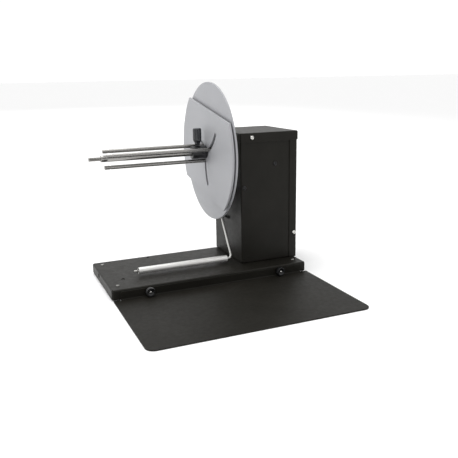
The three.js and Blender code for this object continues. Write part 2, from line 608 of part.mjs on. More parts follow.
// ---- dancer arm -----------------------------------------------------------
function buildArm() {
  const bush = cut(
    fuse(rod('x', 5, 59.3, 66, PIVOT_Y, PIVOT_Z, 24), rod('x', 8, 61.7, 63.7, PIVOT_Y, PIVOT_Z, 24)),
    rod('x', 3.3, 55, 70, PIVOT_Y, PIVOT_Z, 20));
  add('arm_bush', bush, brass);

  const hub = turned([[0, 45.5], [7, 45.5], [8, 46.5], [8, 58], [7.4, 58.6], [0, 58.6]], 'x', PIVOT_Y, PIVOT_Z, 28);
  const pivot = rod('x', 3, 57, 81, PIVOT_Y, PIVOT_Z, 18);
  const lean = Math.hypot(PIVOT_Y - ROLLER_Y, PIVOT_Z - ROLLER_Z);
  const dir = new THREE.Vector3(0, (ROLLER_Y - PIVOT_Y) / lean, (ROLLER_Z - PIVOT_Z) / lean);
  const top = new THREE.Vector3(ARM_X, PIVOT_Y, PIVOT_Z);
  const socketFrom = top.clone().addScaledVector(dir, 4);
  const socketTo = top.clone().addScaledVector(dir, 12);
  const socket = cut(fuse(hub, pivot), strut(socketFrom, socketTo, ROD_R + 0.2));
  add('arm_hub', socket, black);

  const start = top.clone().addScaledVector(dir, 4.5);
  const knee = top.clone().addScaledVector(dir, lean - BEND_R);
  const corner = top.clone().addScaledVector(dir, lean);
  const out = corner.clone().add(new THREE.Vector3(-BEND_R, 0, 0));
  const circleShape = new THREE.Shape();
  circleShape.absarc(0, 0, ROD_R, 0, Math.PI * 2, false);
  const path = new THREE.QuadraticBezierCurve3(knee, corner, out);
  const elbow = solid(new THREE.ExtrudeGeometry(circleShape, { steps: 7, extrudePath: path, curveSegments: 5 }));
  const leg = strut(start, knee.clone().addScaledVector(dir, 0.6), ROD_R);
  const axle = rod('x', ROD_R, ROLLER_X0 - 0.5, ARM_X - BEND_R + 0.6, ROLLER_Y, ROLLER_Z, 14);
  const pin = rod('x', 1.4, ROLLER_X0 - 7, ROLLER_X0, ROLLER_Y, ROLLER_Z, 12);
  add('arm_rod', fuse(leg, elbow, axle, pin), steel);

  add('tension_roller', ring('x', 4.1, ROLLER_R, ROLLER_X0, ROLLER_X1, ROLLER_Y, ROLLER_Z, 28), satin);
  add('roller_bush_outer', ring('x', ROD_R + 0.2, 4, ROLLER_X0 + 0.5, ROLLER_X0 + 6, ROLLER_Y, ROLLER_Z, 20), black);
  add('roller_bush_inner', ring('x', ROD_R + 0.2, 4, ROLLER_X1 - 6, ROLLER_X1 - 0.5, ROLLER_Y, ROLLER_Z, 20), black);
  add('roller_clip', ring('x', 1.6, 3.2, ROLLER_X0 - 2.4, ROLLER_X0 - 1.4, ROLLER_Y, ROLLER_Z, 16), steel);

  add('arm_sensor', cut(
    fuse(box(72, 83, PIVOT_Y - 8, PIVOT_Y + 8, PIVOT_Z - 8, PIVOT_Z + 8), rod('x', 4.5, 69.5, 73, PIVOT_Y, PIVOT_Z, 20)),
    rod('x', 3.3, 68, 81.5, PIVOT_Y, PIVOT_Z, 18)), black);
  add('arm_spring', spring(67, 69.2, 6.2, 0.5, 2), steel);

  [['lower', 85.5], ['upper', 94.5]].forEach(([place, y]) => {
    const head = turned(
      [[0, TOWER_X0 - 3], [2.2, TOWER_X0 - 3], [2.8, TOWER_X0 - 2.2], [2.8, TOWER_X0], [1.5, TOWER_X0],
        [1.5, TOWER_X0 + 5], [0, TOWER_X0 + 5]], 'x', y, 82, 14);
    add(`sensor_screw_${place}`, head, black);
  });
}

function strut(from, to, r) {
  const shape = new THREE.Shape();
  shape.absarc(0, 0, r, 0, Math.PI * 2, false);
  const path = new THREE.LineCurve3(from, to);
  return solid(new THREE.ExtrudeGeometry(shape, { steps: 1, extrudePath: path, curveSegments: 7 }));
}

function spring(x0, x1, r, wire, turns) {
  const points = [];
  const n = turns * 12;
  for (let i = 0; i <= n; i += 1) {
    const t = (2 * Math.PI * turns * i) / n;
    points.push(new THREE.Vector3(
      x0 + ((x1 - x0) * i) / n, PIVOT_Y + r * Math.cos(t), PIVOT_Z + r * Math.sin(t)));
  }
  const shape = new THREE.Shape();
  shape.absarc(0, 0, wire, 0, Math.PI * 2, false);
  const path = new THREE.CatmullRomCurve3(points);
  return solid(new THREE.ExtrudeGeometry(shape, { steps: n, extrudePath: path, curveSegments: 3 }));
}

// ---- controls on the end panel -------------------------------------------
function buildControls() {
  const x = PANEL_X1;
  const bezel = box(x, x + 1.5, 57, 75, 176.5, 201.5);
  const shell = box(x - 16, x + 0.5, 59, 73, 178.5, 199.5);
  const well = box(x - 8, x + 3, 60.5, 71.5, 180, 198);
  add('switch_body', cut(fuse(bezel, shell), well), black);
  const rocker = plate([[x - 6, 181], [x - 1, 180.4], [x + 3.2, 181.4], [x + 1.0, 189], [x + 3.2, 196.6],
    [x - 1, 197.6], [x - 6, 197]].map(([u, v]) => [u, v]), 'y', 61, 71);
  add('switch_rocker', rocker, black);

  const pot = fuse(rod('x', 8, x - 14, x - TOWER_SHEET - 0.2, 112, 185, 24), rod('x', 3.5, x - 3, x + 4, 112, 185, 18));
  const potBore = rod('x', 2.3, x - 10, x + 6, 112, 185, 16);
  add('torque_control', cut(pot, potBore), satin);
  const grip = fluted('x', 9, x + 4.5, x + 16, 112, 185, 9, 1.4);
  const spindle = rod('x', 2, x - 9, x + 6, 112, 185, 14);
  const pointer = box(x + 15.5, x + 16.6, 111.4, 112.6, 187, 193.2);
  add('torque_knob', fuse(grip, spindle, pointer), black);

  const barrel = ring('x', 3, 5.5, x - 14, x + 0.5, 120, 34, 20);
  const flange = ring('x', 3, 7.5, x, x + 2.5, 120, 34, 20);
  const back = rod('x', 5.5, x - 15, x - 13.5, 120, 34, 20);
  const contact = rod('x', 1, x - 14, x - 1, 120, 34, 10);
  add('power_inlet', fuse(barrel, flange, back, contact), black);
}

buildBase();
buildFeet();
buildTray();
buildThumbscrews();
buildTower();
buildTowerScrews();
buildShaft();
buildPlates();
buildHub();
buildFingers();
buildBearings();
buildDrive();
buildArm();
buildControls();

root.position.set(-ORIGIN_X, -ORIGIN_Y, 0);

export default root;
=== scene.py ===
import json
import math
import bmesh
import bpy
from mathutils import Matrix, Vector


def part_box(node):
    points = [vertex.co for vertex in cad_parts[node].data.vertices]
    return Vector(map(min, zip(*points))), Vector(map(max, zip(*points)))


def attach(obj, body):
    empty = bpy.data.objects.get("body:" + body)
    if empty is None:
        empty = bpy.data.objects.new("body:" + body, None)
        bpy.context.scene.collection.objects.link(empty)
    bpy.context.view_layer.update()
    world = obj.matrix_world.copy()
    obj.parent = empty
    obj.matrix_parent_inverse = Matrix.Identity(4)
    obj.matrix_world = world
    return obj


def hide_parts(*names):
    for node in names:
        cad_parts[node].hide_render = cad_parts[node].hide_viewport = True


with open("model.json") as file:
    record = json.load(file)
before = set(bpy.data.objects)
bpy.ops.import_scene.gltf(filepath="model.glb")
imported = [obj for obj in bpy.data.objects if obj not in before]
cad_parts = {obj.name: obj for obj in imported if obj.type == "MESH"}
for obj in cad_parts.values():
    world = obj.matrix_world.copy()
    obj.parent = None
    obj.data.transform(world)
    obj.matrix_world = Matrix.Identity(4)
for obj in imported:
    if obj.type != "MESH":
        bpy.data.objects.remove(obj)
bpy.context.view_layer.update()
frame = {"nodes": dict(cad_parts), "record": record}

MM = 0.001
NODES = frame["nodes"]
WHERE = {n: b for b, ns in frame["record"]["behaviour"]["bodies"].items() for n in ns}


# ---------------------------------------------------------------- materials
def new_material(name, slot):
    mat = bpy.data.materials.new(name)
    mat.use_nodes = True
    tree = mat.node_tree
    tree.nodes.clear()
    out = tree.nodes.new("ShaderNodeOutputMaterial")
    shader = tree.nodes.new("ShaderNodeBsdfPrincipled")
    tree.links.new(shader.outputs["BSDF"], out.inputs["Surface"])
    mat["slot"] = slot
    return mat, tree, shader


def coords(tree, stretch=(1, 1, 1)):
    tex = tree.nodes.new("ShaderNodeTexCoord")
    mapping = tree.nodes.new("ShaderNodeMapping")
    mapping.inputs["Scale"].default_value = stretch
    tree.links.new(tex.outputs["Object"], mapping.inputs["Vector"])
    return mapping.outputs["Vector"]


def noise(tree, vector, scale, detail=2.0, rough=0.5):
    node = tree.nodes.new("ShaderNodeTexNoise")
    node.inputs["Scale"].default_value = scale
    node.inputs["Detail"].default_value = detail
    node.inputs["Roughness"].default_value = rough
    tree.links.new(vector, node.inputs["Vector"])
    return node.outputs["Fac"]


def spread(tree, value, low, high, a=0.3, b=0.7):
    node = tree.nodes.new("ShaderNodeMapRange")
    node.inputs["From Min"].default_value = a
    node.inputs["From Max"].default_value = b
    node.inputs["To Min"].default_value = low
    node.inputs["To Max"].default_value = high
    tree.links.new(value, node.inputs["Value"])
    return node.outputs["Result"]


def tint(tree, value, dark, light, a=0.3, b=0.7):
    ramp = tree.nodes.new("ShaderNodeValToRGB")
    ramp.color_ramp.elements[0].position = a
    ramp.color_ramp.elements[0].color = (*dark, 1)
    ramp.color_ramp.elements[1].position = b
    ramp.color_ramp.elements[1].color = (*light, 1)
    tree.links.new(value, ramp.inputs["Fac"])
    return ramp.outputs["Color"]


def bump(tree, value, distance, strength=1.0, after=None):
    node = tree.nodes.new("ShaderNodeBump")
    node.inputs["Strength"].default_value = strength
    node.inputs["Distance"].default_value = distance
    tree.links.new(value, node.inputs["Height"])
    if after is not None:
        tree.links.new(after, node.inputs["Normal"])
    return node.outputs["Normal"]


def edge_mask(tree, radius=0.0007):
    """1 along sharp and bent edges, where a rounded normal leaves the true one, and 0 on flat faces."""
    rounded_normal = tree.nodes.new("ShaderNodeBevel")
    rounded_normal.samples = 4
    rounded_normal.inputs["Radius"].default_value = radius
    geo = tree.nodes.new("ShaderNodeNewGeometry")
    dot = tree.nodes.new("ShaderNodeVectorMath")
    dot.operation = "DOT_PRODUCT"
    tree.links.new(rounded_normal.outputs["Normal"], dot.inputs[0])
    tree.links.new(geo.outputs["True Normal"], dot.inputs[1])
    return spread(tree, dot.outputs["Value"], 1.0, 0.0, 0.80, 0.97)


def mix_colour(tree, factor, a, b):
    node = tree.nodes.new("ShaderNodeMix")
    node.data_type = "RGBA"
    tree.links.new(factor, node.inputs[0])
    for sock, val in ((node.inputs[6], a), (node.inputs[7], b)):
        if isinstance(val, tuple):
            sock.default_value = (*val, 1)
        else:
            tree.links.new(val, sock)
    return node.outputs[2]


def powder_coat(name, slot, dark, light, rough=(0.40, 0.50), grain=0.00006, spec=0.16):
    """Fine textured powder coat: sub-millimetre grain, soft mottling, and a painted highlight that lightens
    the edges and folds.
    """
    mat, tree, shader = new_material(name, slot)
    vec = coords(tree)
    mottle = noise(tree, vec, 22, 3, 0.55)
    fine = noise(tree, vec, 1500, 2, 0.6)
    peel = noise(tree, vec, 420, 1, 0.5)
    base = tint(tree, mottle, dark, light)
    # painted highlight: where the bevel mask finds an edge or fold, the colour is mixed to 2.4 times the
    # light tone, standing in for light caught there
    edge_highlight = mix_colour(tree, edge_mask(tree), base, tuple(min(1, c * 2.4) for c in light))
    tree.links.new(edge_highlight, shader.inputs["Base Color"])
    tree.links.new(spread(tree, noise(tree, vec, 160, 3, 0.6), *rough), shader.inputs["Roughness"])
    first = bump(tree, peel, grain * 2.0, 0.35)
    tree.links.new(bump(tree, fine, grain, 0.55, first), shader.inputs["Normal"])
    shader.inputs["Specular IOR Level"].default_value = spec
    return mat


def satin_metal(name, slot, dark, light, rough, stretch, metallic=1.0, lines=900, depth=0.000012):
    """Machined or brushed metal: fine lines along one direction and a faint cloudiness."""
    mat, tree, shader = new_material(name, slot)
    cloud = noise(tree, coords(tree), 14, 3, 0.5)
    brush = noise(tree, coords(tree, stretch), lines, 3, 0.65)
    tree.links.new(tint(tree, cloud, dark, light), shader.inputs["Base Color"])
    tree.links.new(spread(tree, brush, *rough), shader.inputs["Roughness"])
    tree.links.new(bump(tree, brush, depth, 0.6), shader.inputs["Normal"])
    shader.inputs["Metallic"].default_value = metallic
    return mat


def moulded(name, slot, dark, light, rough, grain=0.00003, scale=1100, spec=0.5):
    mat, tree, shader = new_material(name, slot)
    vec = coords(tree)
    tree.links.new(tint(tree, noise(tree, vec, 60, 3, 0.6), dark, light), shader.inputs["Base Color"])
    tree.links.new(spread(tree, noise(tree, vec, 240, 2, 0.6), *rough), shader.inputs["Roughness"])
    tree.links.new(bump(tree, noise(tree, vec, scale, 2, 0.6), grain, 0.5), shader.inputs["Normal"])
    shader.inputs["Specular IOR Level"].default_value = spec
    return mat


def circuit_board():
    mat, tree, shader = new_material("solder_mask", "circuit_board")
    vec = coords(tree)
    brick = tree.nodes.new("ShaderNodeTexBrick")
    brick.inputs["Scale"].default_value = 160
    brick.inputs["Mortar Size"].default_value = 0.03
    brick.inputs["Color1"].default_value = (0.010, 0.075, 0.030, 1)
    brick.inputs["Color2"].default_value = (0.012, 0.090, 0.036, 1)
    brick.inputs["Mortar"].default_value = (0.035, 0.16, 0.07, 1)
    tree.links.new(vec, brick.inputs["Vector"])
    tree.links.new(brick.outputs["Color"], shader.inputs["Base Color"])
    tree.links.new(spread(tree, noise(tree, vec, 300), 0.3, 0.5), shader.inputs["Roughness"])
    return mat


M = {
    "powder": powder_coat("powder_black", "powder_coat", (0.0098, 0.0090, 0.0068), (0.0136, 0.0126, 0.0100)),
    "disc": satin_metal("flange_satin", "satin_plate", (0.352, 0.356, 0.372), (0.376, 0.380, 0.396),
                        (0.50, 0.60), (1, 1, 14), 0.25, 260, 0.000006),
    "steel": satin_metal("ground_steel", "polished_steel", (0.270, 0.264, 0.252), (0.330, 0.323, 0.310),
                         (0.20, 0.30), (9, 0.6, 0.6), 1.0, 700, 0.000006),
    "roller": satin_metal("roller_aluminium", "aluminium", (0.74, 0.735, 0.715), (0.82, 0.815, 0.795),
                          (0.34, 0.46), (9, 0.6, 0.6), 0.65, 700, 0.000006),
    "bright": satin_metal("bright_steel_bar", "polished_steel", (0.50, 0.495, 0.475), (0.58, 0.575, 0.555),
                          (0.26, 0.36), (2, 2, 9), 1.0, 500, 0.000005),
    "cast": satin_metal("machined_aluminium", "aluminium", (0.42, 0.43, 0.44), (0.52, 0.53, 0.54),
                        (0.34, 0.5), (1, 6, 6), 1.0, 500, 0.00001),
    "plain": satin_metal("plain_sheet_steel", "plain_steel", (0.36, 0.36, 0.35), (0.46, 0.46, 0.45),
                         (0.3, 0.48), (1, 8, 1), 1.0, 400, 0.00001),
    "zinc": satin_metal("zinc_plate", "zinc_screw", (0.66, 0.65, 0.62), (0.78, 0.77, 0.74),
                        (0.18, 0.30), (1, 1, 1), 1.0, 900, 0.000006),
    "tray": powder_coat("powder_black_tray", "powder_coat", (0.0098, 0.0090, 0.0068),
                        (0.0136, 0.0126, 0.0100), (0.46, 0.54), spec=0.12),
    "oxide": moulded("black_oxide", "black_metal", (0.005, 0.005, 0.006), (0.010, 0.010, 0.011),
                     (0.26, 0.38)),
    "tin": satin_metal("dull_zinc_plate", "zinc_screw", (0.20, 0.20, 0.19), (0.30, 0.30, 0.285),
                       (0.30, 0.42), (1, 1, 1), 1.0, 900, 0.000006),
    "plastic": moulded("black_moulding", "black_plastic", (0.012, 0.012, 0.013), (0.022, 0.022, 0.024),
                       (0.38, 0.52)),
    "rubber": moulded("rubber_black", "rubber", (0.010, 0.010, 0.010), (0.020, 0.020, 0.020), (0.7, 0.9),
                      0.00008, 700, 0.3),
    "pcb": circuit_board(),
    "brass": satin_metal("turned_brass", "brass", (0.50, 0.36, 0.14), (0.60, 0.45, 0.20),
                         (0.25, 0.4), (9, 0.6, 0.6), 1.0, 500, 0.00001),
    "knob": moulded("knob_blue_black", "black_metal", (0.005, 0.0065, 0.010), (0.009, 0.011, 0.016),
                    (0.18, 0.26), spec=0.7),
    "floor": moulded("pale_floor", "floor", (0.955, 0.955, 0.955), (0.975, 0.975, 0.975), (0.9, 1.0)),
    "mark": moulded("dial_mark", "black_plastic", (0.62, 0.62, 0.60), (0.72, 0.72, 0.70), (0.5, 0.6)),
}


# ---------------------------------------------------------------- mesh tools
def to_object(name, bm, mat, angle=32):
    bmesh.ops.remove_doubles(bm, verts=bm.verts, dist=1e-7)
    bmesh.ops.recalc_face_normals(bm, faces=bm.faces)
    mesh = bpy.data.meshes.new(name)
    bm.to_mesh(mesh)
    bm.free()
    obj = bpy.data.objects.new(name, mesh)
    bpy.context.scene.collection.objects.link(obj)
    mesh.materials.append(mat)
    smooth(mesh, angle)
    return obj


def smooth(mesh, angle=32):
    mesh.polygons.foreach_set("use_smooth", [True] * len(mesh.polygons))
    mesh.set_sharp_from_angle(angle=math.radians(angle))
    mesh.update()


def apply_modifiers(obj):
    deps = bpy.context.evaluated_depsgraph_get()
    done = bpy.data.meshes.new_from_object(obj.evaluated_get(deps))
    obj.modifiers.clear()
    old = obj.data
    obj.data = done
    bpy.data.meshes.remove(old)
    return obj


def round_edges(obj, width, segments=2, limit=35):
    mod = obj.modifiers.new("round", "BEVEL")
    mod.width = width
    mod.segments = segments
    mod.limit_method = "ANGLE"
    mod.angle_limit = math.radians(limit)
    mod.harden_normals = False
    mod.miter_outer = "MITER_ARC"
    flat = obj.modifiers.new("flat", "WEIGHTED_NORMAL")
    flat.keep_sharp = True
    flat.weight = 80
    return obj


def keep(obj, body, nodes=()):
    """Every piece rides on its body and stands for its CAD nodes."""
    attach(obj, body)
    if nodes:
        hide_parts(*nodes)
    return obj


def stand_in(obj, *nodes):
    return keep(obj, WHERE[nodes[0]], nodes)


AXES = {
    "x": lambda r, h, t, c: (h, c[1] + r * math.cos(t), c[2] + r * math.sin(t)),
    "y": lambda r, h, t, c: (c[0] + r * math.cos(t), h, c[2] + r * math.sin(t)),
    "z": lambda r, h, t, c: (c[0] + r * math.cos(t), c[1] + r * math.sin(t), h),
}


def turned(name, profile, axis, centre, mat, segments=64, shape=None, angle=32):
    """A turned body. profile is [(radius, height)]; shape(radius, height, angle) may vary the radius."""
    bm = bmesh.new()
    place = AXES[axis]
    rings = []
    for r, h in profile:
        if r < 1e-7:
            rings.append([bm.verts.new(place(0, h, 0, centre))])
            continue
        ring = []
        for i in range(segments):
            t = 2 * math.pi * i / segments
            ring.append(bm.verts.new(place(shape(r, h, t) if shape else r, h, t, centre)))
        rings.append(ring)
    closed = profile[0][0] > 1e-7
    pairs = list(zip(rings, rings[1:])) + ([(rings[-1], rings[0])] if closed else [])
    for a, b in pairs:
        for i in range(segments):
            j = (i + 1) % segments
            if len(a) == 1 and len(b) == 1:
                continue
            if len(a) == 1:
                bm.faces.new((a[0], b[i], b[j]))
            elif len(b) == 1:
                bm.faces.new((a[i], b[0], a[j]))
            else:
                bm.faces.new((a[i], b[i], b[j], a[j]))
    return to_object(name, bm, mat, angle)


def fillet(points, radius, steps=3):
    """Rounds every corner of an open profile or outline that turns by more than 20 degrees."""
    made = [points[0]]
    for p, q, s in zip(points, points[1:], points[2:]):
        a, b, c = Vector(p), Vector(q), Vector(s)
        u, v = a - b, c - b
        if u.length < 1e-9 or v.length < 1e-9:
            made.append(q)
            continue
        turn = math.pi - u.angle(v)
        if turn < math.radians(20):
            made.append(q)
            continue
        cut = min(radius * math.tan(turn / 2), u.length * 0.45, v.length * 0.45)
        start, end = b + u.normalized() * cut, b + v.normalized() * cut
        for i in range(steps + 1):
            t = i / steps
            made.append(tuple((1 - t) ** 2 * start + 2 * t * (1 - t) * b + t * t * end))
    made.append(points[-1])
    return made


def flat_plate(name, outline, holes, thick, edge=0.00015, rings=2):
    """A flat plate in XY from z=0 down to -thick, with rounded rims, as a bmesh."""
    curve = bpy.data.curves.new(name, "CURVE")
    curve.dimensions = "2D"
    curve.fill_mode = "BOTH"
    curve.extrude = thick / 2 - edge
    curve.bevel_depth = edge
    curve.bevel_resolution = rings
    curve.offset = -edge
    for loop in [outline] + list(holes):
        spline = curve.splines.new("POLY")
        spline.points.add(len(loop) - 1)
        for point, (u, v) in zip(spline.points, loop):
            point.co = (u, v, 0, 1)
        spline.use_cyclic_u = True
    obj = bpy.data.objects.new(name, curve)
    bpy.context.scene.collection.objects.link(obj)
    deps = bpy.context.evaluated_depsgraph_get()
    mesh = bpy.data.meshes.new_from_object(obj.evaluated_get(deps))
    bpy.data.objects.remove(obj)
    bpy.data.curves.remove(curve)
    bm = bmesh.new()
    bm.from_mesh(mesh)
    bpy.data.meshes.remove(mesh)
    bmesh.ops.remove_doubles(bm, verts=bm.verts, dist=1e-6)
    bmesh.ops.translate(bm, verts=bm.verts, vec=(0, 0, -thick / 2))
    return bm


def circle(cx, cy, r, n=32):
    turns = [2 * math.pi * i / n for i in range(n)]
    return [(cx + r * math.cos(t), cy + r * math.sin(t)) for t in turns]


def rounded(u0, u1, v0, v1, radii, steps=8):
    corners = [(u0, v0, 180, radii[0], 1, 1), (u1, v0, 270, radii[1], -1, 1),
               (u1, v1, 0, radii[2], -1, -1), (u0, v1, 90, radii[3], 1, -1)]
    loop = []
    for u, v, start, r, su, sv in corners:
        if r == 0:
            loop.append((u, v))
            continue
        for i in range(steps + 1):
            a = math.radians(start + 90 * i / steps)
            loop.append((u + su * r + r * math.cos(a), v + sv * r + r * math.sin(a)))
    return loop


# ---------------------------------------------------------------- folded sheet metal
def fold(bm, axis, at, way, radius, steps=6):
    """Bends the sheet down beyond the line where coordinate `axis` is `at`, on the side `way`."""
    for k in range(steps + 1):
        co, no = [0.0, 0.0, 0.0], [0.0, 0.0, 0.0]
        co[axis] = at + way * radius * (math.pi / 2) * k / steps
        no[axis] = 1.0
        geom = bm.verts[:] + bm.edges[:] + bm.faces[:]
        bmesh.ops.bisect_plane(bm, geom=geom, dist=1e-7, plane_co=co, plane_no=no)
    arc = radius * math.pi / 2
    for v in bm.verts:
        run = (v.co[axis] - at) * way
        if run <= 1e-9:
            continue
        reach = radius + v.co.z
        if run < arc:
            v.co[axis] = at + way * reach * math.sin(run / radius)
            v.co.z = -radius + reach * math.cos(run / radius)
        else:
            v.co[axis] = at + way * reach
            v.co.z = -radius - (run - arc)


def developed(depth, radius):
    """Length of flat sheet past a bend line that makes a flange of that outer depth."""
    return depth - radius + radius * math.pi / 2


def pan_pattern(width, depth, flange, thick, radius, sides):
    """Flat pattern of a folded pan: corners run (x0,y0), (x1,y0), (x1,y1), (x0,y1)."""
    arc = radius * math.pi / 2
    run = developed(flange, radius)
    gap = 0.0002
    reach_x, reach_y = radius - thick - gap, radius
    loop = []
    for sx, sy, x_first in ((-1, -1, True), (1, -1, False), (1, 1, True), (-1, 1, False)):
        has_x = ("x0" if sx < 0 else "x1") in sides
        has_y = ("y0" if sy < 0 else "y1") in sides
        x = (0 if sx < 0 else width) - (sx * radius if has_x else 0)
        y = (0 if sy < 0 else depth) - (sy * radius if has_y else 0)
        if has_x and has_y:
            part = [(x + sx * run, y + sy * reach_x), (x + sx * arc, y + sy * reach_x), (x + sx * arc, y),
                    (x, y), (x, y + sy * arc), (x + sx * reach_y, y + sy * arc),
                    (x + sx * reach_y, y + sy * run)]
        elif has_x:
            part = [(x + sx * run, y)]
        elif has_y:
            part = [(x, y + sy * run)]
        else:
            part = [(x, y)]
        loop += part if x_first else part[::-1]
    return loop


def flat_faced(obj, limit=40):
    """Normals that keep every flat face truly flat and blend only across the bends and rims."""
    bm = bmesh.new()
    bm.from_mesh(obj.data)
    bm.faces.ensure_lookup_table()
    group, total = {}, []
    for face in bm.faces:
        if face.index in group:
            continue
        key, area, queue = len(total), 0.0, [face]
        group[face.index] = key
        while queue:
            here = queue.pop()
            area += here.calc_area()
            for edge in here.edges:
                for other in edge.link_faces:
                    if other.index not in group and other.normal.dot(here.normal) > 0.999998:
                        group[other.index] = key
                        queue.append(other)
        total.append(area)
    least = math.cos(math.radians(limit))
    normals = []
    for face in bm.faces:
        for loop in face.loops:
            blended = Vector((0, 0, 0))
            for other in loop.vert.link_loops:
                if other.face.normal.dot(face.normal) > least:
                    weight = total[group[other.face.index]] ** 2 * other.calc_angle() + 1e-18
                    blended += other.face.normal * weight
            normals.append(blended.normalized() if blended.length > 0 else face.normal.copy())
    bm.free()
    obj.data.normals_split_custom_set(normals)
    return obj


def sheet_object(name, bm, matrix, mat):
    bmesh.ops.transform(bm, matrix=matrix, verts=bm.verts)
    return flat_faced(to_object(name, bm, mat, 40))


def frame_of(origin, u, v, n):
    m = Matrix.Identity(4)
    for col, axis in enumerate((u, v, n)):
        m.col[col] = (*axis, 0)
    m.col[3] = (*origin, 1)
    return m


BASE_LO, BASE_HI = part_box("base_plate")
MID_X = (BASE_LO.x + BASE_HI.x) / 2


def at(x, y, z):
    """Millimetres from the middle of the base plate's front edge, as a point of the frame."""
    return Vector((MID_X + x * MM, BASE_LO.y + y * MM, z * MM))


def centre(node, axes):
    lo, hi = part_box(node)
    return [(lo[i] + hi[i]) / 2 for i in axes]


# ---------------------------------------------------------------- base and tray
def build_base():
    lo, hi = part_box("base_plate")
    width, depth, height = hi.x - lo.x, hi.y - lo.y, hi.z - lo.z
    thick, radius = 0.0016, 0.0024
    drop = developed(0, radius)
    thumb = [centre(f"tray_thumbscrew_{side}", (0, 2)) for side in ("left", "right")]
    holes = [circle(u * MM, v * MM, r * MM) for u, v, r in ((27, 45, 2.6), (27, 138, 1.6), (90.4, 137, 2.6))]
    holes += [circle(c[0] - lo.x, radius - (hi.z - c[1] + drop), 0.0023) for c in thumb]
    for name in ("front_left", "front_right", "rear_left", "rear_right"):
        x, y = centre(f"foot_screw_{name}", (0, 1))
        holes.append(circle(x - lo.x, y - lo.y, 0.0019))
    for name in ("front", "rear"):
        x, y = centre(f"tower_bolt_{name}", (0, 1))
        holes.append(circle(x - lo.x, y - lo.y, 0.0023))
    near, far = (radius - (d * MM + drop) for d in (2.7, 8.2))
    holes.append(rounded(far, near, 0.088, 0.097, [0.001] * 4, 3))
    loop = pan_pattern(width, depth, height, thick, radius, ("x0", "x1", "y0", "y1"))
    bm = flat_plate("base", loop, holes, thick)
    fold(bm, 0, radius, -1, radius)
    fold(bm, 0, width - radius, 1, radius)
    fold(bm, 1, radius, -1, radius)
    fold(bm, 1, depth - radius, 1, radius)
    obj = sheet_object("base_pan", bm, Matrix.Translation((lo.x, lo.y, hi.z)), M["powder"])
    stand_in(obj, "base_plate")


def build_feet():
    for name in ("front_left", "front_right", "rear_left", "rear_right"):
        lo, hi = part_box(f"foot_{name}")
        x, y = centre(f"foot_{name}", (0, 1))
        r, top = (hi.x - lo.x) / 2, hi.z
        line = fillet([(0, lo.z + 0.0006), (r * 0.45, lo.z + 0.0006), (r * 0.55, lo.z), (r - 0.0012, lo.z),
                       (r - 0.0004, lo.z + 0.004), (r, top - 0.0012), (r - 0.0003, top), (0, top)], 0.0006)
        stand_in(turned(f"foot_pad_{name}", line, "z", (x, y, 0), M["rubber"], 48), f"foot_{name}")
        lo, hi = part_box(f"foot_screw_{name}")
        head = BASE_HI.z
        pan_screw(f"foot_fixing_{name}", "z", (x, y, head), 1, (hi.x - lo.x) / 2, hi.z - head, 0.0015,
                  head - lo.z, M["tin"], f"foot_screw_{name}", 18)


def build_tray():
    lo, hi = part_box("alignment_tray")
    width, depth = hi.x - lo.x, hi.y - lo.y
    thick, radius, inset = 0.0015, 0.0034, 0.011
    run = developed(hi.z - lo.z, radius)
    bend, rear, notch = depth - radius, depth - 0.0013, 0.0012
    loop = rounded(0, width, 0, depth, [0.012, 0.012, 0, 0], 14)[:30]
    loop += [(width - 0.0008, rear), (width - inset + notch, rear), (width - inset + notch, bend - 0.001),
             (width - inset, bend - 0.001), (width - inset, bend + run - 0.0015),
             (width - inset - 0.0015, bend + run), (inset + 0.0015, bend + run),
             (inset, bend + run - 0.0015), (inset, bend - 0.001),
             (inset - notch, bend - 0.001), (inset - notch, rear), (0.0008, rear)]
    loop.append((0, rear - 0.0008))
    loop.insert(30, (width, rear - 0.0008))
    holes = []
    for side in ("left", "right"):
        x, z = centre(f"tray_thumbscrew_{side}", (0, 2))
        holes.append(circle(x - lo.x, bend + developed(z - lo.z, radius), 0.0023))
    bm = flat_plate("tray", loop, holes, thick, 0.00025)
    fold(bm, 1, bend, 1, radius)
    matrix = frame_of((lo.x, lo.y, lo.z), (1, 0, 0), (0, 1, 0), (0, 0, -1))
    stand_in(sheet_object("label_tray", bm, matrix, M["tray"]), "alignment_tray")


def build_thumbscrews():
    teeth = 30
    for side in ("left", "right"):
        node = f"tray_thumbscrew_{side}"
        lo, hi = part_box(node)
        x, z = centre(node, (0, 2))
        r, f = (hi.x - lo.x) / 2, lo.y
        line = [(0, f + 0.0017), (0.0014, f + 0.0017), (0.0024, f + 0.0017), (0.0029, f + 0.0015),
                (0.0042, f + 0.0003), (0.0046, f + 0.00005), (0.0050, f), (r - 0.0007, f),
                (r - 0.0002, f + 0.0004),
                (r, f + 0.0009), (r, f + 0.0052), (r - 0.0002, f + 0.0057), (r - 0.0007, f + 0.006),
                (0.0043, f + 0.006), (0.0042, f + 0.0062), (0.0042, f + 0.0077), (0.0039, f + 0.008),
                (0.002, f + 0.008), (0.002, hi.y - 0.0005), (0.0015, hi.y), (0, hi.y)]
        knurl = [(r, h) for h in (f + 0.0009 + 0.0043 * i / 3 for i in range(4))]
        line = line[:9] + knurl + line[11:]

        def teeth_of(radius, h, t, r=r):
            if radius < r - 0.0003:
                return radius
            wave = 0.5 - 0.5 * math.cos(teeth * t)
            return radius - 0.00045 * wave ** 0.7

        knob = turned(f"thumb_knob_{side}", line, "y", (x, 0, z), M["oxide"], teeth * 8, teeth_of, 40)
        stand_in(knob, node)
        end = [(0, f + 0.0005), (0.0007, f + 0.00055), (0.0013, f + 0.0008), (0.0016, f + 0.0012),
               (0.0016, f + 0.0019), (0, f + 0.0019)]
        keep(turned(f"thumb_screw_end_{side}", end, "y", (x, 0, z), M["zinc"], 40), WHERE[node])


